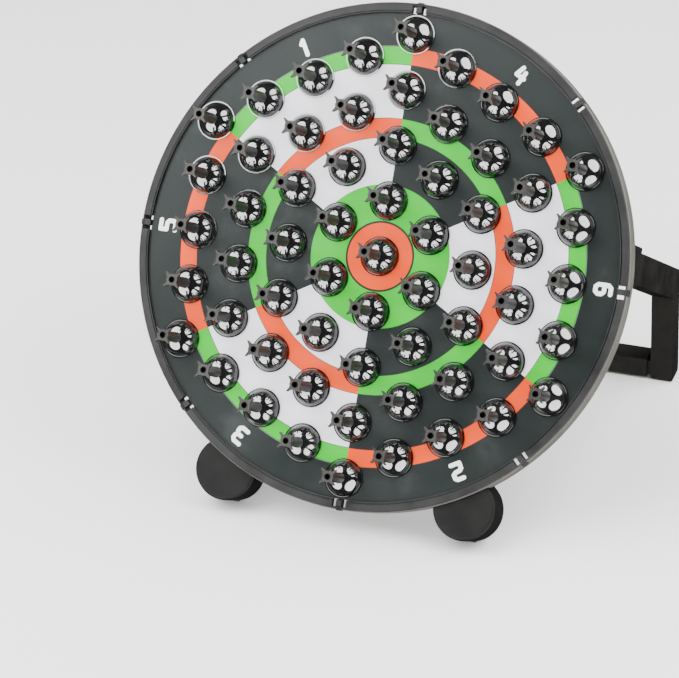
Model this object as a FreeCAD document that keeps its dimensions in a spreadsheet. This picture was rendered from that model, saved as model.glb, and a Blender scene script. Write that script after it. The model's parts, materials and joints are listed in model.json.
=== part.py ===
import FreeCAD, Part
import math
import os
import Sketcher

# Leaning dartboard with catch knobs and a plug-in stand, millimetres.
# Every piece is drawn in the board's frame: X to the right, Y up the face, Z out of the face,
# with Z = 0 on the printed face. The whole board then leans back and is set on the floor.

doc = FreeCAD.newDocument("catch_board")
V = FreeCAD.Vector

# ---------------------------------------------------------------- driving sizes
SIZES = {
    # whole board
    "pitch": 44.5,             # knob to knob
    "knob_rings": 4,           # rings of knobs round the middle one
    "rim_radius": 203.2,       # 16 inch board
    "lean": 34.5,              # degrees back from upright
    "fit": 0.3,                # gap between pieces that are put together
    "run": 0.05,               # radial gap of a pin or stud in its hole
    # back shell
    "wall": 2.0,
    "wall_lip": 0.6,           # front edge of the wall above the face
    "wall_edge": 0.6,          # chamfer on that edge
    "shell_depth": 14.5,       # face to the outside of the back
    "back_plate": 2.0,
    "rib": 1.8,
    "rib_in": 15.2,            # outer rib, in from the rim
    "rib_inner": 100.0,
    "bead_gap": 1.0,           # between the sockets and the raised ring on the back
    "bead_width": 5.0,
    "bead_height": 0.8,
    "boss_radius": 5.0,
    "boss_steps": 5,           # boss circle, in steps of pitch / sqrt(3)
    "boss_count": 6,
    "screw": 1.5,
    "screw_head": 3.0,
    "head_height": 1.6,
    # target panel, printed sheet and front ring
    "panel": 2.6,
    "sheet": 0.4,
    "ring_gap": 0.6,           # between the sheet's edge and the ring
    "ring_width": 8.2,         # inner edge of the ring, in from the rim
    "ring_in": 0.8,            # outer edge of the ring, in from the rim
    "ring_height": 2.2,
    "ring_round": 0.6,
    "ring_lip": 0.8,           # thin raised lip along the inner edge
    "ring_lip_rise": 0.5,
    "ring_groove": 0.8,
    "ring_groove_deep": 0.9,
    # rim clips and their windows
    "clip_count": 8,
    "clip_width": 4.6,
    "clip_slot": 3.3,
    "clip_height": 3.0,
    "clip_proud": 0.7,         # how far the nose stands out past the rim
    "clip_hold": 4.2,          # how far the tongue reaches in past the window
    "clip_plate": 1.5,
    "window_over": 0.3,        # how far the windows reach in past the ring
    "window_wall": 0.1,        # between the windows and the side wall
    "back_window": 12.0,       # half width of the openings behind the clips
    # knob domes
    "lip_radius": 15.7,
    "lip": 1.2,
    "dome_radius": 14.9,
    "dome_height": 13.0,
    "dome_wall": 1.6,
    # catch hooks
    "stud": 3.0,
    "stud_reach": 8.0,
    "neck_foot": 4.5,
    "neck_top": 3.7,
    "hub": 4.6,
    "hub_height": 3.4,
    "crown_top": 43.5,
    "crown": 3.2,
    "crown_reach": 8.8,
    "crown_waist": 4.0,
    "crown_tip": 0.9,
    "crown_bore": 2.5,
    "crown_bore_depth": 6.0,
    "retainer": 7.0,
    "retainer_thick": 0.8,
    # front feet
    "foot_turn": 28.3,         # degrees round from the bottom of the board
    "foot_out": 8.0,           # middle of a foot, out from the rim
    "foot_radius": 25.5,
    "foot_round": 2.8,
    "foot_line": 0.7,          # fine groove round the foot
    "foot_line_in": 4.4,
    "foot_front": 2.5,
    "foot_back": 30.0,
    "foot_flat": 3.5,
    "foot_screw_in": 9.2,      # in from the rim
    "foot_screw_apart": 18.0,
    "foot_screw_grip": 10.0,
    "pad": 1.5,
    "foot_pad_x": 8.0,
    "foot_pad_y": 4.6,
    # stand
    "leg_in": 17.2,            # middle of a leg, in from the rim
    "leg_width": 19.0,
    "arm_y": 23.0,
    "arm_height": 25.4,
    "post_front": 174.0,       # floor distances behind the middle of the face
    "post_back": 193.5,
    "post_pad_inset": 1.2,
    "bar_height": 17.0,
    "bar_lift": 2.0,
    "bar_neck": 3.5,
    "bar_step": 2.0,
    "bar_tenon": 6.0,
    # sockets that hold the stand's arms
    "socket_wall": 3.0,
    "socket_floor": 2.5,
    "socket_depth": 28.0,
    "flange_reach": 26.0,      # from the middle of a leg
    "socket_screw_reach": 20.0,
    "socket_screw_y": 10.0,
    "socket_screw_grip": 8.0,
}

# sizes that follow from the ones above, so that what fits together stays together
FOLLOW = {
    "ring_inner": "=rim_radius - ring_width",
    "ring_flange": "=rim_radius - ring_in",
    "sheet_radius": "=ring_inner - ring_gap",
    "rib_outer": "=rim_radius - rib_in",
    "window_inner": "=ring_inner - window_over",
    "window_outer": "=rim_radius - wall - window_wall",
    "clip_nose": "=rim_radius + clip_proud",
    "clip_tongue": "=window_inner - clip_hold",
    "foot_x": "=(rim_radius + foot_out) * sin(foot_turn)",
    "foot_y": "=(rim_radius + foot_out) * cos(foot_turn)",
    "foot_screw_radius": "=rim_radius - foot_screw_in",
    "leg_x": "=rim_radius - leg_in",
    "flange_inner": "=leg_x - flange_reach",
    "socket_screw_x": "=leg_x - socket_screw_reach",
    "bead_radius": "=flange_inner - bead_gap - bead_width",
}

sheet = doc.addObject("Spreadsheet::Sheet", "size")
for row, (alias, value) in enumerate({**SIZES, **FOLLOW}.items(), start=1):
    sheet.set("A%d" % row, alias)
    sheet.set("B%d" % row, str(value))
    sheet.setAlias("B%d" % row, alias)
doc.recompute()


def val(alias):
    return float(sheet.get(alias))


# ---------------------------------------------------------------- derived expressions
SHELL_BACK = "(-size.shell_depth)"
PLATE_INSIDE = "(size.back_plate - size.shell_depth)"
PANEL_BACK = "(-size.sheet - size.panel)"
WALL_INSIDE = "(size.rim_radius - size.wall)"
GROOVE_OUTSIDE = "(size.ring_inner + size.ring_lip + size.ring_groove)"
BOSS_HEIGHT = "size.shell_depth - size.sheet - size.panel - size.back_plate / 2"
FOUR = [(1, 1), (1, -1), (-1, 1), (-1, -1)]    # side of the board, side of the pair
ARM_ROOT = "(-size.shell_depth - size.socket_floor - size.fit)"
ARM_TOP = "(size.arm_y + size.arm_height / 2)"
ARM_LOW = "(size.arm_y - size.arm_height / 2)"
# height of the floor under the middle of the face, set by the lowest corner of the feet
FOOT_LOW = ("(-cos(size.lean) * (size.foot_y + size.foot_radius)"
            " - sin(size.lean) * size.foot_back + size.foot_flat)")
FLOOR = "(%s - size.pad)" % FOOT_LOW


FOOT_AWAY = "sqrt(size.foot_x ^ 2 + size.foot_y ^ 2)"


def foot_screw(side, step):
    """One of a foot's two screws: on a circle about the board, each side of the foot's middle."""
    across = "%d * size.foot_screw_apart / 2" % step
    x = "(size.foot_screw_radius * size.foot_x + %s * size.foot_y) / %s" % (across, FOOT_AWAY)
    y = "(%s * size.foot_x - size.foot_screw_radius * size.foot_y) / %s" % (across, FOOT_AWAY)
    return mirrored(x, side), y


def socket_screw(side, step):
    return (mirrored("size.socket_screw_x", side),
            "size.arm_y + %d * size.socket_screw_y" % step)


def mirrored(expression, side):
    """X expression on the right (+1) or left (-1) side."""
    return "(%d * (%s))" % (side, expression)


def upright(back, up):
    """Face coordinates (Y, Z) of a point given by its floor distance and its height."""
    return ("sin(size.lean) * (%s) + cos(size.lean) * (%s)" % (back, up),
            "sin(size.lean) * (%s) - cos(size.lean) * (%s)" % (up, back))


def on_post(y, back):
    """Face coordinates (Y, Z) where the height y on the face meets an upright line."""
    return (y, "(sin(size.lean) * (%s) - (%s)) / cos(size.lean)" % (y, back))


# ---------------------------------------------------------------- building helpers
def body(name):
    piece = doc.addObject("PartDesign::Body", name)
    piece.Label = name
    return piece


def sketch_on(piece, plane, offset=None):
    """An empty sketch on one of the body's origin planes, moved along its normal by offset."""
    sketch = piece.newObject("Sketcher::SketchObject", "sketch_of_" + piece.Name)
    support = [f for f in piece.Origin.OriginFeatures if f.Role == plane][0]
    sketch.AttachmentSupport = [(support, "")]
    sketch.MapMode = "FlatFace"
    if offset:
        sketch.setExpression(".AttachmentOffset.Base.z", offset)
    return sketch


def pin_point(sketch, geo, pos, x, y):
    """Tie one point of a sketch to the origin by two expressions."""
    for kind, expression in (("DistanceX", x), ("DistanceY", y)):
        index = sketch.addConstraint(Sketcher.Constraint(kind, -1, 1, geo, pos, 1.0))
        sketch.setExpression("Constraints[%d]" % index, expression)


def polygon(sketch, corners):
    """A closed outline of straight lines through corners given as expressions."""
    count = len(corners)
    start = sketch.GeometryCount
    for i in range(count):
        turn = 2 * math.pi * i / count
        after = 2 * math.pi * (i + 1) / count
        sketch.addGeometry(Part.LineSegment(V(math.cos(turn), math.sin(turn), 0),
                                            V(math.cos(after), math.sin(after), 0)))
    for i in range(count):
        sketch.addConstraint(Sketcher.Constraint("Coincident", start + i, 2,
                                                 start + (i + 1) % count, 1))
    for i, (x, y) in enumerate(corners):
        pin_point(sketch, start + i, 1, x, y)


def box_outline(sketch, left, right, low, high):
    polygon(sketch, [(left, low), (right, low), (right, high), (left, high)])


def circle(sketch, x, y, radius):
    geo = sketch.addGeometry(Part.Circle(V(0, 0, 0), V(0, 0, 1), 1.0))
    pin_point(sketch, geo, 3, x, y)
    index = sketch.addConstraint(Sketcher.Constraint("Radius", geo, 1.0))
    sketch.setExpression("Constraints[%d]" % index, radius)


def feature(piece, kind, sketch, length=None, reverse=False, midplane=False):
    item = piece.newObject("PartDesign::" + kind, "%s_of_%s" % (kind.lower(), piece.Name))
    item.Profile = sketch
    if length:
        item.setExpression("Length", length)
    item.Reversed = reverse
    if midplane:
        item.Midplane = True
    return item


def through(piece, sketch):
    """A pocket cut both ways through the whole piece."""
    item = feature(piece, "Pocket", sketch, midplane=True)
    item.Type = "ThroughAll"
    return item


def revolve(piece, sketch, kind="Revolution"):
    item = feature(piece, kind, sketch)
    item.ReferenceAxis = (sketch, ["V_Axis"])
    item.Angle = 360.0
    return item


def polar(piece, item, count):
    """Repeat a feature about the board's Z axis."""
    pattern = piece.newObject("PartDesign::PolarPattern", "pattern_of_" + piece.Name)
    pattern.Originals = [item]
    axis = [f for f in piece.Origin.OriginFeatures if f.Role == "Z_Axis"][0]
    pattern.Axis = (axis, [""])
    pattern.Angle = 360.0
    pattern.setExpression("Occurrences", count)
    piece.Tip = pattern
    return pattern


def knob_places(ring=None):
    """Middles of the knobs: a triangular lattice inside a hexagon, one ring or all."""
    rings = int(val("knob_rings"))
    places = []
    for column in range(-rings, rings + 1):
        for step in range(-rings, rings + 1):
            here = max(abs(column), abs(step), abs(column + step))
            if here <= rings and ring in (None, here):
                places.append(V(val("pitch") * column * math.sqrt(3) / 2,
                                val("pitch") * (step + column / 2), 0))
    return places


def repeated(name, shape, places):
    """One node that holds a separate copy of the shape at each place."""
    group = doc.addObject("Part::Feature", name)
    group.Label = name
    copies = []
    for place in places:
        copy = shape.copy()
        copy.translate(place)
        copies.append(copy)
    group.Shape = Part.makeCompound(copies)
    return group


def stud_holes(piece, places):
    """Clearance holes for the hook studs, cut in one pocket."""
    sketch = sketch_on(piece, "XY_Plane")
    for place in places:
        circle(sketch, "%.9g * size.pitch" % (place.x / val("pitch")),
               "%.9g * size.pitch" % (place.y / val("pitch")), "size.stud + size.run")
    return through(piece, sketch)


def clip_windows(piece):
    """Windows beside the rim clips, right through the piece."""
    sketch = sketch_on(piece, "XY_Plane")
    half = "(size.clip_width / 2 + size.clip_slot)"
    box_outline(sketch, "-" + half, half, "size.window_inner", "size.window_outer")
    cut = through(piece, sketch)
    doc.recompute()
    return polar(piece, cut, "size.clip_count")


kept = []
every_knob = knob_places()


# ---------------------------------------------------------------- target panel
panel = body("target_panel")
disc = sketch_on(panel, "XY_Plane", "-size.sheet")
circle(disc, "0", "0", WALL_INSIDE + " - size.fit")
feature(panel, "Pad", disc, "size.panel", reverse=True)
stud_holes(panel, every_knob)
bosses = sketch_on(panel, "XY_Plane")
circle(bosses, "size.boss_steps * size.pitch / sqrt(3)", "0", "size.screw")
doc.recompute()
polar(panel, through(panel, bosses), "size.boss_count")
clip_windows(panel)
kept.append(panel)

# ---------------------------------------------------------------- printed sheet
face = body("face_sheet")
disc = sketch_on(face, "XY_Plane")
circle(disc, "0", "0", "size.sheet_radius")
feature(face, "Pad", disc, "size.sheet", reverse=True)
stud_holes(face, every_knob)
kept.append(face)

# ---------------------------------------------------------------- front ring
ring = body("front_ring")
section = sketch_on(ring, "XZ_Plane")
polygon(section, [
    ("size.ring_inner", "-size.sheet"),
    (WALL_INSIDE + " - size.fit", "-size.sheet"),
    (WALL_INSIDE + " - size.fit", "size.wall_lip + size.fit"),
    ("size.ring_flange", "size.wall_lip + size.fit"),
    ("size.ring_flange", "size.ring_height - size.ring_round"),
    ("size.ring_flange - size.ring_round", "size.ring_height"),
    (GROOVE_OUTSIDE, "size.ring_height"),
    (GROOVE_OUTSIDE, "size.ring_height - size.ring_groove_deep"),
    ("size.ring_inner + size.ring_lip", "size.ring_height - size.ring_groove_deep"),
    ("size.ring_inner + size.ring_lip", "size.ring_height + size.ring_lip_rise"),
    ("size.ring_inner", "size.ring_height + size.ring_lip_rise"),
])
revolve(ring, section)
clip_windows(ring)
kept.append(ring)

# ---------------------------------------------------------------- back shell
shell = body("back_shell")
section = sketch_on(shell, "XZ_Plane")
polygon(section, [
    ("0", SHELL_BACK),
    ("size.bead_radius", SHELL_BACK),
    ("size.bead_radius", SHELL_BACK + " - size.bead_height"),
    ("size.bead_radius + size.bead_width", SHELL_BACK + " - size.bead_height"),
    ("size.bead_radius + size.bead_width", SHELL_BACK),
    ("size.rim_radius", SHELL_BACK),
    ("size.rim_radius", "size.wall_lip - size.wall_edge"),
    ("size.rim_radius - size.wall_edge", "size.wall_lip"),
    (WALL_INSIDE, "size.wall_lip"),
    (WALL_INSIDE, PLATE_INSIDE),
    ("size.rib_outer + size.rib", PLATE_INSIDE),
    ("size.rib_outer + size.rib", PANEL_BACK),
    ("size.rib_outer", PANEL_BACK),
    ("size.rib_outer", PLATE_INSIDE),
    ("size.rib_inner + size.rib", PLATE_INSIDE),
    ("size.rib_inner + size.rib", PANEL_BACK),
    ("size.rib_inner", PANEL_BACK),
    ("size.rib_inner", PLATE_INSIDE),
    ("0", PLATE_INSIDE),
])
revolve(shell, section)

boss_place = ("size.boss_steps * size.pitch / sqrt(3)", "0")
post_sketch = sketch_on(shell, "XY_Plane", PANEL_BACK)
circle(post_sketch, *boss_place, "size.boss_radius")
boss = feature(shell, "Pad", post_sketch, BOSS_HEIGHT, reverse=True)
doc.recompute()
polar(shell, boss, "size.boss_count")

hole = sketch_on(shell, "XY_Plane")
circle(hole, *boss_place, "size.screw")
doc.recompute()
polar(shell, through(shell, hole), "size.boss_count")

notch = sketch_on(shell, "XY_Plane", PANEL_BACK + " - size.clip_plate - size.fit")
box_outline(notch, "-size.clip_width / 2 - size.fit", "size.clip_width / 2 + size.fit",
            "size.window_outer - size.fit", "size.rim_radius + size.wall")
cut = feature(shell, "Pocket", notch, "size.shell_depth", reverse=True)
doc.recompute()
polar(shell, cut, "size.clip_count")
behind = sketch_on(shell, "XY_Plane")
box_outline(behind, "-size.back_window", "size.back_window",
            "size.rib_outer + size.rib + size.fit", "size.window_outer")
cut = through(shell, behind)
doc.recompute()
polar(shell, cut, "size.clip_count")

pillars = sketch_on(shell, "XY_Plane", PANEL_BACK)
for side, step in FOUR:
    circle(pillars, *socket_screw(side, step), "size.boss_radius")
feature(shell, "Pad", pillars, BOSS_HEIGHT, reverse=True)
seat_holes = sketch_on(shell, "XY_Plane")
for side, step in FOUR:
    circle(seat_holes, *socket_screw(side, step), "size.screw")
    circle(seat_holes, *foot_screw(side, step), "size.screw")
shell.Tip = through(shell, seat_holes)
kept.append(shell)


# ---------------------------------------------------------------- rim clips
def rim_clip():
    """Snap clip at the top of the rim: tongue under the panel, block, nose under the flange."""
    clip = body("rim_clip_form")
    side = sketch_on(clip, "YZ_Plane")
    low = PANEL_BACK + " - size.clip_plate"
    polygon(side, [
        ("size.clip_tongue", low),
        ("size.clip_nose", low),
        ("size.clip_nose", "size.wall_lip - size.wall_edge"),
        ("size.clip_nose - size.wall_edge", "size.wall_lip"),
        ("size.window_outer - size.fit", "size.wall_lip"),
        ("size.window_outer - size.fit", "size.clip_height - size.ring_round"),
        ("size.window_outer - size.fit - size.ring_round", "size.clip_height"),
        ("size.window_inner + size.fit + size.ring_round", "size.clip_height"),
        ("size.window_inner + size.fit", "size.clip_height - size.ring_round"),
        ("size.window_inner + size.fit", PANEL_BACK),
        ("size.clip_tongue", PANEL_BACK),
    ])
    feature(clip, "Pad", side, "size.clip_width", midplane=True)
    doc.recompute()
    return clip.Shape


clip_shape = rim_clip()
clip_total = int(val("clip_count"))
for step in range(clip_total):
    clip = doc.addObject("Part::Feature", "rim_clip_%d" % (step + 1))
    clip.Label = clip.Name
    turned = clip_shape.copy()
    turned.rotate(V(0, 0, 0), V(0, 0, 1), -360.0 * step / clip_total)
    clip.Shape = turned
    kept.append(clip)


# ---------------------------------------------------------------- knob domes
def ball_radius(base, height):
    """Radius of the ball whose cap has this base radius and height."""
    return (base * base + height * height) / (2 * height)


def dome_shape():
    """Hollow dome: the cap of a ball over a thin lip, with a bored, flattened top."""
    top = val("dome_height")
    lip = val("lip")
    cap = top - lip
    outer_r = ball_radius(val("dome_radius"), cap)
    inner_r = outer_r - val("dome_wall")
    middle = V(0, 0, top - outer_r)
    outer = Part.makeSphere(outer_r, middle)
    above_lip = Part.makeCylinder(2 * outer_r, 2 * outer_r, V(0, 0, lip))
    solid = outer.common(above_lip).fuse(Part.makeCylinder(val("lip_radius"), lip))
    inner = Part.makeSphere(inner_r, middle)
    hollow = inner.common(Part.makeCylinder(2 * outer_r, 2 * outer_r))
    solid = solid.cut(hollow)
    seat = Part.makeCylinder(val("neck_foot"), outer_r, V(0, 0, top - val("lip") / 2))
    stud_hole = Part.makeCylinder(val("stud") + val("run"), top)
    return solid.cut(seat).cut(stud_hole).removeSplitter()


# ---------------------------------------------------------------- catch hooks
def catch_hook():
    """Stud, tapered neck and hub in one turning, under a four-pointed crown."""
    hook = body("catch_hook_form")
    seat = "(size.dome_height - size.lip / 2)"
    crown_under = "(size.crown_top - size.crown)"
    section = sketch_on(hook, "XZ_Plane")
    polygon(section, [
        ("0", PANEL_BACK + " - size.stud_reach"),
        ("size.stud", PANEL_BACK + " - size.stud_reach"),
        ("size.stud", seat),
        ("size.neck_foot", seat),
        ("size.neck_top", crown_under + " - size.hub_height"),
        ("size.hub", crown_under + " - size.hub_height / 3"),
        ("size.hub", "size.crown_top"),
        ("0", "size.crown_top"),
    ])
    revolve(hook, section)
    plate = sketch_on(hook, "XY_Plane", "size.crown_top")
    corner = "(size.crown_reach / sqrt(2))"
    box_outline(plate, "-" + corner, corner, "-" + corner, corner)
    feature(hook, "Pad", plate, "size.crown", reverse=True)
    # each side of the square crown is bitten by a circle down to its waist
    half = "(%s - size.crown_tip)" % corner
    sag = "(%s - size.crown_waist)" % corner
    bite_radius = "((%s ^ 2 + %s ^ 2) / (2 * %s))" % (half, sag, sag)
    bite = sketch_on(hook, "XY_Plane", crown_under)
    circle(bite, "0", "size.crown_waist + " + bite_radius, bite_radius)
    cut = feature(hook, "Pocket", bite, "size.crown + 1", reverse=True)
    doc.recompute()
    pattern = polar(hook, cut, "4")
    hub = sketch_on(hook, "XY_Plane", crown_under)
    circle(hub, "0", "0", "size.hub")
    feature(hook, "Pad", hub, "size.crown")
    bore = sketch_on(hook, "XY_Plane", "size.crown_top")
    circle(bore, "0", "0", "size.crown_bore")
    hook.Tip = feature(hook, "Pocket", bore, "size.crown_bore_depth")
    doc.recompute()
    return hook.Shape


dome = dome_shape()
hook = catch_hook()
for ring_number in range(int(val("knob_rings")) + 1):
    places = knob_places(ring_number)
    kept.append(repeated("knob_domes_ring_%d" % ring_number, dome, places))
    kept.append(repeated("catch_hooks_ring_%d" % ring_number, hook, places))

washer = Part.makeCylinder(val("retainer"), val("retainer_thick"),
                           V(0, 0, -val("sheet") - val("panel") - val("retainer_thick")))
washer = washer.cut(Part.makeCylinder(val("stud") + val("run"), 4 * val("panel"),
                                      V(0, 0, -4 * val("panel"))))
kept.append(repeated("stud_retainers", washer, every_knob))


# ---------------------------------------------------------------- front feet
def front_foot(name, side):
    """Round lobe under the rim: its upper part passes behind the back shell."""
    foot = body(name)
    lobe = sketch_on(foot, "XY_Plane", "-size.foot_front")
    circle(lobe, mirrored("size.foot_x", side), "-size.foot_y", "size.foot_radius")
    disc = feature(foot, "Pad", lobe, "size.foot_back - size.foot_front", reverse=True)
    doc.recompute()
    front = max((edge.CenterOfMass.z, number) for number, edge
                in enumerate(disc.Shape.Edges, start=1) if edge.isClosed())[1]
    soft = foot.newObject("PartDesign::Fillet", "round_of_" + name)
    soft.Base = (disc, ["Edge%d" % front])
    soft.setExpression("Radius", "size.foot_round")
    groove = sketch_on(foot, "XY_Plane", "-size.foot_front - size.foot_line_in")
    for radius in ("size.foot_radius + size.foot_line", "size.foot_radius - size.foot_line"):
        circle(groove, mirrored("size.foot_x", side), "-size.foot_y", radius)
    feature(foot, "Pocket", groove, "size.foot_line")
    rim = sketch_on(foot, "XY_Plane", "-size.foot_front")
    circle(rim, "0", "0", "size.rim_radius + size.fit")
    feature(foot, "Pocket", rim, "size.shell_depth - size.foot_front")
    screws = sketch_on(foot, "XY_Plane", SHELL_BACK)
    for step in (1, -1):
        circle(screws, *foot_screw(side, step), "size.screw")
    feature(foot, "Pocket", screws, "size.foot_screw_grip")
    ground = sketch_on(foot, "YZ_Plane")
    polygon(ground, [
        upright("-2 * size.rim_radius", FOOT_LOW),
        upright("-2 * size.rim_radius", FOOT_LOW + " - size.foot_radius"),
        upright("2 * size.rim_radius", FOOT_LOW + " - size.foot_radius"),
        upright("2 * size.rim_radius", FOOT_LOW),
    ])
    through(foot, ground)
    return foot


def foot_pad(name, side):
    """Rubber strip on the flat under a foot, at its back edge."""
    strip = body(name)
    outline = sketch_on(strip, "YZ_Plane", mirrored("size.foot_x", side))
    # the flat's back edge, on the back face of the foot
    edge = ("(tan(size.lean) * (%s) + (size.foot_back - size.fit) / cos(size.lean))"
            % FOOT_LOW)
    polygon(outline, [
        upright(edge, FOOT_LOW),
        upright(edge + " - size.foot_pad_y", FOOT_LOW),
        upright(edge + " - size.foot_pad_y", FLOOR),
        upright(edge, FLOOR),
    ])
    feature(strip, "Pad", outline, "2 * size.foot_pad_x", midplane=True)
    return strip


for side, word in ((1, "right"), (-1, "left")):
    kept.append(front_foot(word + "_foot", side))
    kept.append(foot_pad(word + "_foot_pad", side))


# ---------------------------------------------------------------- stand
def stand_leg(name, side):
    """Bent leg: an arm square to the board, then a post straight down to the floor."""
    leg = body(name)
    outline = sketch_on(leg, "YZ_Plane", mirrored("size.leg_x", side))
    foot_level = FLOOR + " + size.pad"
    polygon(outline, [
        (ARM_TOP, ARM_ROOT),
        on_post(ARM_TOP, "size.post_back"),
        upright("size.post_back", foot_level),
        upright("size.post_front", foot_level),
        on_post(ARM_LOW, "size.post_front"),
        (ARM_LOW, ARM_ROOT),
    ])
    feature(leg, "Pad", outline, "size.leg_width", midplane=True)
    socket = sketch_on(leg, "YZ_Plane",
                       mirrored("size.leg_x - size.leg_width / 2 + size.bar_tenon + size.fit", side))
    bar_section(socket, "size.bar_step - size.fit / 2")
    # the socket is cut towards the middle of the board, out through the leg's inner face
    feature(leg, "Pocket", socket, "size.bar_tenon + size.leg_width / 2", reverse=(side < 0))
    return leg


def bar_section(sketch, inset):
    """Upright rectangle of the crossbar, made smaller by inset on every side."""
    inset = "(%s)" % inset
    low = FLOOR + " + size.bar_lift + " + inset
    high = FLOOR + " + size.bar_lift + size.bar_height - " + inset
    polygon(sketch, [
        upright("size.post_front + " + inset, low),
        upright("size.post_back - " + inset, low),
        upright("size.post_back - " + inset, high),
        upright("size.post_front + " + inset, high),
    ])


def stand_crossbar():
    bar = body("stand_crossbar")
    inner_face = "size.leg_x - size.leg_width / 2"
    main = sketch_on(bar, "YZ_Plane")
    bar_section(main, "0")
    feature(bar, "Pad", main, "2 * (%s - size.bar_neck)" % inner_face, midplane=True)
    tenon = sketch_on(bar, "YZ_Plane")
    bar_section(tenon, "size.bar_step")
    feature(bar, "Pad", tenon, "2 * (%s + size.bar_tenon)" % inner_face, midplane=True)
    return bar


def post_pad(name, side):
    """Rubber pad under a post."""
    pad = body(name)
    outline = sketch_on(pad, "YZ_Plane", mirrored("size.leg_x", side))
    front = "size.post_front + size.post_pad_inset"
    back = "size.post_back - size.post_pad_inset"
    polygon(outline, [
        upright(front, FLOOR),
        upright(back, FLOOR),
        upright(back, FLOOR + " + size.pad"),
        upright(front, FLOOR + " + size.pad"),
    ])
    feature(pad, "Pad", outline, "size.leg_width - 2 * size.post_pad_inset", midplane=True)
    return pad


def stand_socket(name, side):
    """Box on the back that holds an arm of the stand, with a flange for two screws."""
    socket = body(name)
    base = sketch_on(socket, "XY_Plane", SHELL_BACK)
    outer_x = "size.leg_width / 2 + size.fit + size.socket_wall"
    outer_y = "size.arm_height / 2 + size.fit + size.socket_wall"
    left = mirrored("size.flange_inner", side)
    right = mirrored("size.leg_x + " + outer_x, side)
    low = "size.arm_y - (%s)" % outer_y
    high = "size.arm_y + " + outer_y
    box_outline(base, left, right, low, high)
    feature(socket, "Pad", base, "size.socket_floor", reverse=True)
    walls = sketch_on(socket, "XY_Plane", SHELL_BACK)
    box_outline(walls, mirrored("size.leg_x - (%s)" % outer_x, side), right, low, high)
    feature(socket, "Pad", walls, "size.socket_floor + size.socket_depth", reverse=True)
    hollow = sketch_on(socket, "XY_Plane", SHELL_BACK + " - size.socket_floor")
    half_x = "(size.leg_width / 2 + size.fit)"
    half_y = "(size.arm_height / 2 + size.fit)"
    box_outline(hollow, mirrored("size.leg_x - " + half_x, side),
                mirrored("size.leg_x + " + half_x, side),
                "size.arm_y - " + half_y, "size.arm_y + " + half_y)
    feature(socket, "Pocket", hollow, "2 * size.socket_depth")
    holes = sketch_on(socket, "XY_Plane", SHELL_BACK)
    for step in (1, -1):
        circle(holes, *socket_screw(side, step), "size.screw")
    through(socket, holes)
    return socket


for side, word in ((1, "right"), (-1, "left")):
    kept.append(stand_socket(word + "_stand_socket", side))
    kept.append(stand_leg(word + "_stand_leg", side))
    kept.append(post_pad(word + "_post_pad", side))
kept.append(stand_crossbar())


# ---------------------------------------------------------------- screws
def pan_screw(length):
    """Pan-head screw along +Z with the underside of its head at Z = 0 and a cross recess."""
    head_r = val("screw_head")
    head = Part.makeCone(head_r, head_r * 0.8, val("head_height"), V(0, 0, 0), V(0, 0, -1))
    shank = Part.makeCylinder(val("screw") - val("run"), length)
    solid = head.fuse(shank)
    bar = Part.makeBox(head_r, val("screw") / 2, val("head_height") / 2,
                       V(-head_r / 2, -val("screw") / 4, -val("head_height")))
    turned = bar.copy()
    turned.rotate(V(0, 0, 0), V(0, 0, 1), 90)
    return solid.cut(bar).cut(turned).removeSplitter()


def number(expression):
    return float(sheet.evalExpression(expression))


def spot(place, z):
    """Point on the board from two expressions and a height."""
    return V(number(place[0]), number(place[1]), z)


def head_forward(shape):
    """The screw turned so that its head faces the front."""
    copy = shape.copy()
    copy.rotate(V(0, 0, 0), V(1, 0, 0), 180)
    return copy


back_face = -val("shell_depth")
shell_screws = []
for i in range(int(val("boss_count"))):
    turn = 2 * math.pi * i / val("boss_count")
    away = number(boss_place[0])
    shell_screws.append(V(away * math.cos(turn), away * math.sin(turn), back_face))
kept.append(repeated("shell_screws", pan_screw(val("shell_depth") - val("sheet") - val("fit")),
                     shell_screws))

seat = back_face - val("socket_floor")
kept.append(repeated("socket_screws", pan_screw(val("socket_screw_grip")),
                     [spot(socket_screw(*pair), seat) for pair in FOUR]))

inside = back_face + val("back_plate")
grip = val("back_plate") + val("foot_screw_grip") - val("fit")
kept.append(repeated("foot_screws", head_forward(pan_screw(grip)),
                     [spot(foot_screw(*pair), inside) for pair in FOUR]))


# ---------------------------------------------------------------- lean back and stand on the floor
doc.recompute()
lean = FreeCAD.Rotation(V(1, 0, 0), 90 - val("lean"))
on_board = [FreeCAD.Placement(piece.Placement) for piece in kept]


def lean_back(middle):
    """The board leant back with its middle there, each piece kept at its own place on it."""
    for piece, place in zip(kept, on_board):
        piece.Placement = FreeCAD.Placement(middle, lean) * place
    doc.recompute()


lean_back(V(0, 0, 0))

for item in doc.Objects:
    if {"Invalid", "Error"} & set(item.State):
        raise RuntimeError("%s did not build: %s" % (item.Name, item.State))
for piece in kept:
    if piece.Shape.isNull() or not piece.Shape.isValid():
        raise RuntimeError("%s has no valid shape" % piece.Label)

whole = FreeCAD.BoundBox()
for piece in kept:
    whole.add(piece.Shape.optimalBoundingBox(False, False))
middle = V(-(whole.XMin + whole.XMax) / 2, -(whole.YMin + whole.YMax) / 2, -whole.ZMin)
lean_back(middle)

os.makedirs("parts", exist_ok=True)
for piece in kept:
    piece.Shape.exportStep(os.path.join("parts", piece.Label + ".step"))
    print("%-24s %3d solids %9.0f mm3" % (piece.Label, len(piece.Shape.Solids),
                                          piece.Shape.Volume))
print("middle of the face at", middle, "box", whole)
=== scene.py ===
import bpy
import bmesh
import json
import math
from mathutils import Matrix, Vector


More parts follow.
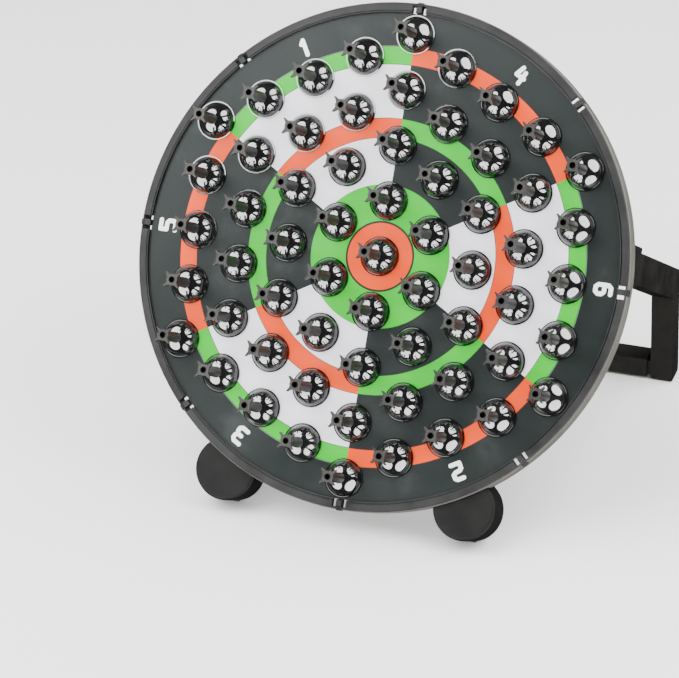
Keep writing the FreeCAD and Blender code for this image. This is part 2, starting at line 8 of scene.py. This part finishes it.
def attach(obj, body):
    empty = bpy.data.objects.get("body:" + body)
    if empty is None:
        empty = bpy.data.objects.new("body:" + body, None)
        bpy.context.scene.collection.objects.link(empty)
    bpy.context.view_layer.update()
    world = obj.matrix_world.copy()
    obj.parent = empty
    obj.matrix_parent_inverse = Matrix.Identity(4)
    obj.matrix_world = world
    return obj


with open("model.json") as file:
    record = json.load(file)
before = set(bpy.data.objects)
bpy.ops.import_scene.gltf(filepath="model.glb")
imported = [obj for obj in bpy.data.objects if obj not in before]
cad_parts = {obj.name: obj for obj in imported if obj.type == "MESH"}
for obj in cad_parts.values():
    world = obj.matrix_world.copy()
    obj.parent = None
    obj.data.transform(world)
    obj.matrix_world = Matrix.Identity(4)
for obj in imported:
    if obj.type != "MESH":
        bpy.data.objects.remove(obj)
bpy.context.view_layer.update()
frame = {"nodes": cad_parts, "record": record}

nodes = frame["nodes"]
print("frame loaded,", len(nodes), "nodes")

# where the board is: its middle, and the two directions of its face
board = {
    "lean": math.radians(34.5),      # back from upright
    "pitch": 0.0445,                 # knob to knob
    "middle": Vector((0, -0.026653, 0.189259)),
}
across = Vector((1, 0, 0))
upFace = Vector((0, math.sin(board["lean"]), math.cos(board["lean"])))
outFace = across.cross(upFace)
toBoard = Matrix((across, upFace, outFace)).transposed().to_4x4()
toBoard.translation = board["middle"]


# nodes of a material
class Num:                           # a number socket that can be used in plain sums
    def __init__(self, paint, socket):
        self.paint, self.socket = paint, socket

    def sum(self, kind, *values):
        made = self.paint.add("ShaderNodeMath", {"operation": kind}, dict(enumerate(values)))
        return Num(self.paint, made.outputs[0])

    def __add__(self, o): return self.sum("ADD", self, o)
    def __radd__(self, o): return self.sum("ADD", o, self)
    def __sub__(self, o): return self.sum("SUBTRACT", self, o)
    def __rsub__(self, o): return self.sum("SUBTRACT", o, self)
    def __mul__(self, o): return self.sum("MULTIPLY", self, o)
    def __rmul__(self, o): return self.sum("MULTIPLY", o, self)
    def __gt__(self, o): return self.sum("GREATER_THAN", self, o)


class Paint:                         # one material and the nodes in it
    def __init__(self, name, **constants):
        self.material = bpy.data.materials.new(name)
        self.material.use_nodes = True
        self.tree = self.material.node_tree
        self.shader = next(n for n in self.tree.nodes if n.type == "BSDF_PRINCIPLED")
        for socket, value in constants.items():
            self.shader.inputs[socket].default_value = value

    def add(self, kind, settings=None, values=None):
        node = self.tree.nodes.new(kind)
        for key, value in (settings or {}).items():
            setattr(node, key, value)
        for key, value in (values or {}).items():
            socket = value.socket if isinstance(value, Num) else value
            if isinstance(socket, bpy.types.NodeSocket):
                self.tree.links.new(socket, node.inputs[key])
            else:
                node.inputs[key].default_value = socket
        return node

    def feed(self, name, source):
        source = source.socket if isinstance(source, Num) else source
        self.tree.links.new(source, self.shader.inputs[name])

    def place(self):
        return self.add("ShaderNodeTexCoord").outputs["Object"]

    def noise(self, scale, detail=3.0, rough=0.55):
        made = self.add("ShaderNodeTexNoise", {}, {"Vector": self.place(), "Scale": scale,
                                                   "Detail": detail, "Roughness": rough})
        return Num(self, made.outputs["Fac"])

    def smooth(self, value, low, high, a=0.0, b=1.0):
        made = self.add("ShaderNodeMapRange", {"interpolation_type": "SMOOTHSTEP", "clamp": True},
                        {"Value": value, "From Min": low, "From Max": high, "To Min": a, "To Max": b})
        return Num(self, made.outputs["Result"])

    def mix(self, mask, first, second):
        made = self.add("ShaderNodeMix", {"data_type": "RGBA", "clamp_factor": True},
                        {0: mask, 6: first, 7: second})
        return made.outputs[2]

    def bump(self, height, strength, distance):
        made = self.add("ShaderNodeBump", {}, {"Height": height, "Strength": strength,
                                               "Distance": distance})
        self.feed("Normal", made.outputs["Normal"])

    def along(self, direction):      # how far from the board's middle, that way
        at = self.add("ShaderNodeVectorMath", {"operation": "SUBTRACT"},
                      {0: self.place(), 1: tuple(board["middle"])}).outputs[0]
        made = self.add("ShaderNodeVectorMath", {"operation": "DOT_PRODUCT"},
                        {0: at, 1: tuple(direction)})
        return Num(self, made.outputs["Value"])


def hue(r, g, b): return (r, g, b, 1.0)


moulding = {                         # what all the moulded plastics share
    "ior": 1.38, "bump": 0.25, "depth": 0.0002,
    "cloud": 38.0, "cloudDetail": 3.0, "cloudRough": 0.6, "cloudRange": (0.32, 0.68),
    "grainDetail": 4.0, "grainShare": 0.6, "glossRange": (0.2, 0.85),
    "smoother": 0.06, "rougher": 0.08,
}


def plastic(name, look):             # fine grain over soft mottling
    look = {**moulding, **look}
    p = Paint(name, IOR=look["ior"])
    grain = p.noise(look["grain"], look["grainDetail"])
    cloud = p.noise(look["cloud"], look["cloudDetail"], look["cloudRough"])
    mottle = p.smooth(cloud, *look["cloudRange"])
    p.feed("Base Color", p.mix(mottle, hue(*look["dark"]), hue(*look["light"])))
    gloss = cloud + (grain - 0.5) * look["grainShare"]
    low, high = look["rough"] - look["smoother"], look["rough"] + look["rougher"]
    p.feed("Roughness", p.smooth(gloss, *look["glossRange"], low, high))
    p.bump(grain, look["bump"], look["depth"])
    return p.material


def steel(name, look):
    p = Paint(name)
    brush = p.noise(look["brush"], look["brushDetail"], look["brushRough"])
    marks = p.smooth(brush, *look["markRange"])
    p.feed("Base Color", p.mix(marks, hue(*look["dark"]), hue(*look["light"])))
    p.feed("Metallic", p.smooth(brush, *look["metalRange"], *look["metal"]))
    p.feed("Roughness", p.smooth(brush, *look["glossRange"], *look["rough"]))
    p.bump(brush, look["bump"], look["depth"])
    return p.material


# the printed face: rings, six sectors and digits
face = {
    "bull": 0.60, "bullLine": 0.635, "green": 1.29,
    "innerBand": (2.135, 2.475), "outerBand": (3.455, 3.765),
    "line": 0.012,                   # dark line round a band, in pitches
    "black": (0.0085, 0.0125, 0.0115), "white": (0.80, 0.80, 0.85),
    "greenInk": (0.012, 0.43, 0.012), "orangeInk": (0.74, 0.055, 0.0),
    "rough": 0.33, "ior": 1.17,
    "blur": 0.006,                   # softness of a printed edge, in pitches
    "fleck": 900.0, "fleckDetail": 2.0, "fleckTint": 0.03, "fleckGloss": 0.06, "fleckBump": 0.3,
    "dust": 16.0, "dustDetail": 4.0, "dustRough": 0.6, "dustTint": (0.55, 0.8, 0.0, 0.05),
    "dustGloss": (0.3, 0.7, -0.05, 0.08), "worn": (0.35, 0.36, 0.37),
    "bump": 0.12, "depth": 0.0002,
}


def facePaint(name):
    p = Paint(name, IOR=face["ior"])
    x, y = p.along(across / board["pitch"]), p.along(upFace / board["pitch"])
    square = x * x + y * y
    r = square.sum("SQRT", square)
    swing = y.sum("ARCTAN2", y, x) * 3.0                     # three white and three black sectors
    whiteSector = swing.sum("COSINE", swing) > 0.0
    edge = face["blur"]

    def inside(radius): return p.smooth(r, radius - edge, radius + edge, 1.0, 0.0)
    def band(low, high): return inside(high) * (1.0 - inside(low))

    black, white = hue(*face["black"]), hue(*face["white"])
    green, orange = hue(*face["greenInk"]), hue(*face["orangeInk"])
    (inLow, inHigh), (outLow, outHigh) = face["innerBand"], face["outerBand"]
    colour = p.mix(whiteSector, black, white)
    colour = p.mix(inside(outHigh + face["line"]), black, colour)
    outer = p.mix(whiteSector, orange, green)
    inner = p.mix(whiteSector, green, orange)
    for low, high, ink in ((outLow, outHigh, outer), (inLow, inHigh, inner)):
        colour = p.mix(band(low - face["line"], high + face["line"]), colour, black)
        colour = p.mix(band(low, high), colour, ink)
    colour = p.mix(inside(face["green"]), colour, green)
    colour = p.mix(inside(face["bullLine"]), colour, black)
    colour = p.mix(inside(face["bull"]), colour, orange)
    fleck = p.noise(face["fleck"], face["fleckDetail"])
    dust = p.noise(face["dust"], face["dustDetail"], face["dustRough"])
    worn = p.smooth(dust, *face["dustTint"]) + (fleck - 0.5) * face["fleckTint"]
    p.feed("Base Color", p.mix(worn, colour, hue(*face["worn"])))
    gloss = p.smooth(dust, *face["dustGloss"]) + (fleck - 0.5) * face["fleckGloss"]
    p.feed("Roughness", face["rough"] + gloss)
    p.bump(fleck * face["fleckBump"] + dust, face["bump"], face["depth"])
    return p.material


looks = {
    "shell_black": {"dark": (0.080, 0.077, 0.068), "light": (0.095, 0.091, 0.081),
                    "grain": 2600.0, "rough": 0.50, "ior": 1.22},
    "panel_black": {"dark": (0.020, 0.020, 0.020), "light": (0.032, 0.032, 0.031),
                    "grain": 1800.0, "rough": 0.48},
    "ring_black": {"dark": (0.010, 0.010, 0.010), "light": (0.018, 0.018, 0.018),
                   "grain": 2400.0, "rough": 0.42, "ior": 1.17},
    "clip_black": {"dark": (0.010, 0.010, 0.010), "light": (0.017, 0.017, 0.017),
                   "grain": 2400.0, "rough": 0.42, "ior": 1.18},
    "dome_black": {"dark": (0.0035, 0.0035, 0.0038), "light": (0.006, 0.006, 0.0062),
                   "grain": 500.0,
                   "rough": 0.07, "bump": 0.02, "depth": 0.00003, "ior": 1.68},
    "hook_black": {"dark": (0.012, 0.011, 0.010), "light": (0.019, 0.018, 0.016),
                   "grain": 3000.0, "rough": 0.42, "ior": 1.25},
    "foot_black": {"dark": (0.0045, 0.0044, 0.0042), "light": (0.0085, 0.0083, 0.008),
                   "grain": 2600.0, "rough": 0.52, "ior": 1.12},
    "stand_black": {"dark": (0.007, 0.0067, 0.006), "light": (0.012, 0.0115, 0.010),
                    "grain": 2600.0, "rough": 0.54, "ior": 1.12},
    "rubber_black": {"dark": (0.012, 0.012, 0.012), "light": (0.022, 0.022, 0.022),
                     "grain": 1500.0, "rough": 0.82, "bump": 0.5},
}
zinc = {
    "dark": (0.42, 0.42, 0.44), "light": (0.62, 0.62, 0.64),
    "brush": 700.0, "brushDetail": 5.0, "brushRough": 0.65, "markRange": (0.3, 0.7),
    "metalRange": (0.0, 0.3), "metal": (0.92, 1.0), "glossRange": (0.25, 0.75), "rough": (0.26, 0.42),
    "bump": 0.15, "depth": 0.0001,
}
paints = {slot: plastic(slot + "_plastic", look) for slot, look in looks.items()}
paints["face_print"] = facePaint("face_print_ink")
paints["fastener_steel"] = steel("fastener_steel_zinc", zinc)
slotOf = {row["node"]: row["material_slot"] for row in frame["record"]["subparts"]}
for name, node in nodes.items():
    node.data.materials.clear()
    node.data.materials.append(paints[slotOf[name]])
print("materials on", len(nodes), "nodes")


# digits in the black margin, tops outward, drawn as fat rounded strokes on a box 2 wide and 3 high
digits = {
    "height": 0.0158, "width": 0.0108, "stroke": 0.0035, "thick": 0.00006, "cell": 0.00026,
    "strokes": {
        "1": [[(0.55, 2.35), (1.15, 3.0), (1.15, 0.0)]],
        "2": [[(0.1, 3.0), (1.5, 3.0), (2.0, 2.6), (2.0, 1.9), (1.5, 1.55), (0.45, 1.45),
               (0.0, 1.1), (0.0, 0.0), (2.0, 0.0)]],
        "3": [[(0.0, 3.0), (1.5, 3.0), (2.0, 2.6), (2.0, 1.95), (1.6, 1.5), (2.0, 1.05),
               (2.0, 0.4), (1.5, 0.0), (0.0, 0.0)],
              [(0.7, 1.5), (1.6, 1.5)]],
        "4": [[(0.45, 3.0), (0.0, 1.25), (2.0, 1.25)], [(1.55, 2.4), (1.55, 0.0)]],
        "5": [[(2.0, 3.0), (0.0, 3.0), (0.0, 1.75), (1.5, 1.75), (2.0, 1.35), (2.0, 0.4),
               (1.5, 0.0), (0.0, 0.0)]],
        "6": [[(1.9, 3.0), (0.5, 3.0), (0.0, 2.5), (0.0, 0.5), (0.5, 0.0), (1.5, 0.0),
               (2.0, 0.5), (2.0, 1.2), (1.5, 1.7), (0.1, 1.7)]],
    },
    "at": {"1": (120, 4.06), "4": (60, 4.07), "6": (0, 4.12),       # degrees round, pitches out
           "2": (-60, 4.10), "3": (-120, 4.10), "5": (180, 4.06)},
    "margin": 6, "flat": 0.02,       # spare cells round a digit, and the angle that counts as straight
    "dim": (0.78, 0.78, 0.80), "ink": (0.86, 0.86, 0.88), "ior": 1.48,
    "speck": 700.0, "tintRange": (0.3, 0.7), "gloss": (0.2, 0.8, 0.34, 0.46),
}


def strokeGap(x, y, lines):          # how far outside the nearest stroke a point is
    gap = 1.0
    for line in lines:
        for (ax, ay), (bx, by) in zip(line, line[1:]):
            dx, dy = bx - ax, by - ay
            t = min(1.0, max(0.0, ((x - ax) * dx + (y - ay) * dy) / (dx * dx + dy * dy)))
            gap = min(gap, math.hypot(x - ax - t * dx, y - ay - t * dy))
    return gap - digits["stroke"] / 2


def printedDigit(text, angle, away):
    high, wide = digits["height"] - digits["stroke"], digits["width"] - digits["stroke"]
    cell, thick = digits["cell"], digits["thick"]
    lines = [[((x / 2 - 0.5) * wide, (y / 3 - 0.5) * high) for x, y in line]
             for line in digits["strokes"][text]]
    columns = int(digits["width"] / cell) + digits["margin"]
    rows = int(digits["height"] / cell) + digits["margin"]
    gap = {(i, j): strokeGap((i - columns / 2) * cell, (j - rows / 2) * cell, lines)
           for i in range(columns + 1) for j in range(rows + 1)}
    form = bmesh.new()
    made = {}

    def point(a, b=None):            # a corner of the grid, or where the outline crosses an edge
        key = (a, b) if b is None or a < b else (b, a)
        if key not in made:
            t = 0.0 if b is None else gap[key[0]] / (gap[key[0]] - gap[key[1]])
            end = key[1] or key[0]
            x, y = (key[0][k] + (end[k] - key[0][k]) * t for k in (0, 1))
            made[key] = form.verts.new(((x - columns / 2) * cell, (y - rows / 2) * cell, thick))
        return made[key]

    for i in range(columns):
        for j in range(rows):
            corners = [(i, j), (i + 1, j), (i + 1, j + 1), (i, j + 1)]
            ring = []
            for a, b in zip(corners, corners[1:] + corners[:1]):
                if gap[a] < 0:
                    ring.append(point(a))
                if (gap[a] < 0) != (gap[b] < 0):
                    ring.append(point(a, b))
            if len(ring) > 2:
                form.faces.new(ring)
    bmesh.ops.dissolve_limit(form, angle_limit=digits["flat"], verts=form.verts, edges=form.edges)
    low = bmesh.ops.extrude_face_region(form, geom=list(form.faces))["geom"]
    low = [v for v in low if isinstance(v, bmesh.types.BMVert)]
    bmesh.ops.translate(form, vec=(0, 0, -thick), verts=low)
    bmesh.ops.recalc_face_normals(form, faces=form.faces)
    turn = math.radians(angle)
    away *= board["pitch"]
    spot = Matrix.Translation((away * math.cos(turn), away * math.sin(turn), 0))
    upright = Matrix.Rotation(turn - math.pi / 2, 4, "Z")    # top of the digit outward
    bmesh.ops.transform(form, matrix=toBoard @ spot @ upright, verts=form.verts)
    mesh = bpy.data.meshes.new("printed_digit_" + text)
    form.to_mesh(mesh)
    form.free()
    return mesh


whiteInk = Paint("digit_ink", IOR=digits["ior"])
speck = whiteInk.noise(digits["speck"])
tint = whiteInk.smooth(speck, *digits["tintRange"])
whiteInk.feed("Base Color", whiteInk.mix(tint, hue(*digits["dim"]), hue(*digits["ink"])))
whiteInk.feed("Roughness", whiteInk.smooth(speck, *digits["gloss"]))
for text, place in digits["at"].items():
    piece = bpy.data.objects.new("printed_digit_" + text, printedDigit(text, *place))
    bpy.context.scene.collection.objects.link(piece)
    piece.data.materials.clear()
    piece.data.materials.append(whiteInk.material)
    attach(piece, "board")
print("digits printed")

# camera, lights and floor
camera = {
    "from": (0.81683, -2.29268, 1.59441), "forward": (-0.30035, 0.79723, -0.52366),
    "right": (0.94232, 0.33304, -0.03346), "lens": 186.56, "sensor": 36.0, "sees": 50.0,
}


def look():
    forward = Vector(camera["forward"]).normalized()
    right = Vector(camera["right"])
    right = (right - forward * right.dot(forward)).normalized()
    data = bpy.data.cameras.new("camera")
    data.lens, data.sensor_width, data.sensor_fit = camera["lens"], camera["sensor"], "HORIZONTAL"
    data.clip_end = camera["sees"]
    eye = bpy.data.objects.new("camera", data)
    eye.matrix_world = Matrix.Translation(camera["from"]) @ Matrix(
        (right, right.cross(forward), -forward)).transposed().to_4x4()
    bpy.context.scene.collection.objects.link(eye)
    bpy.context.scene.camera = eye
    return forward, right, right.cross(forward)


forward, right, up = look()

studio = {"away": 1.5, "nearer": 0.95, "tilt": 62.0, "width": 58.0, "fill": 42.0, "shine": 150.0,
          "spots": ((0.78, 0.63), (-0.72, 0.72), (0.56, -0.83), (-0.78, -0.62))}


def softbox(name, a, b, power, gloss):   # one lamp of a pair fills, the other only shows in gloss
    tilt = math.radians(studio["tilt"])
    sideways = (right * a + up * b).normalized()
    toward = (-forward * math.cos(tilt) + sideways * math.sin(tilt)).normalized()
    away = studio["away"] * (studio["nearer"] if gloss else 1.0)   # the shining one stands in front
    spot = board["middle"] + toward * away
    data = bpy.data.lights.new(name, "AREA")
    data.shape, data.energy = "DISK", power
    data.size = 2 * away * math.tan(math.radians(studio["width"] / 2))
    lamp = bpy.data.objects.new(name, data)
    facing = (spot - board["middle"]).to_track_quat("Z", "Y").to_matrix().to_4x4()
    lamp.matrix_world = Matrix.Translation(spot) @ facing
    lamp.visible_glossy, lamp.visible_diffuse = gloss, not gloss
    bpy.context.scene.collection.objects.link(lamp)


for i, (a, b) in enumerate(studio["spots"]):
    softbox("fill%d" % (i + 1), a, b, studio["fill"], False)
    softbox("shine%d" % (i + 1), a, b, studio["shine"], True)

room = {
    "light": 1.15, "inGloss": 0.12,
    "side": 12.0, "pale": (0.90, 0.90, 0.90), "paler": (0.93, 0.93, 0.93),
    "rough": 0.9, "tone": 1.2, "toneDetail": 2.0,
}
sky = bpy.data.worlds.new("sky")
bpy.context.scene.world = sky
sky.use_nodes = True
air = sky.node_tree.nodes["Background"]
air.inputs["Color"].default_value = (1, 1, 1, 1)
path = sky.node_tree.nodes.new("ShaderNodeLightPath")
strength = sky.node_tree.nodes.new("ShaderNodeMapRange")     # mirror reflections see a darker room
strength.inputs["To Min"].default_value = room["light"]
strength.inputs["To Max"].default_value = room["inGloss"]
sky.node_tree.links.new(path.outputs["Is Glossy Ray"], strength.inputs["Value"])
sky.node_tree.links.new(strength.outputs["Result"], air.inputs["Strength"])

floorMesh = bpy.data.meshes.new("floor")
side = room["side"]
corners = [(-side, -side, 0), (side, -side, 0), (side, side, 0), (-side, side, 0)]
floorMesh.from_pydata(corners, [], [(0, 1, 2, 3)])
floor = bpy.data.objects.new("floor", floorMesh)
bpy.context.scene.collection.objects.link(floor)
floor.visible_glossy = False         # so that low softboxes show in the gloss
pale = Paint("floor_pale", Roughness=room["rough"])
tone = pale.noise(room["tone"], room["toneDetail"])
pale.feed("Base Color", pale.mix(tone, hue(*room["pale"]), hue(*room["paler"])))
floorMesh.materials.append(pale.material)
print("studio ready")
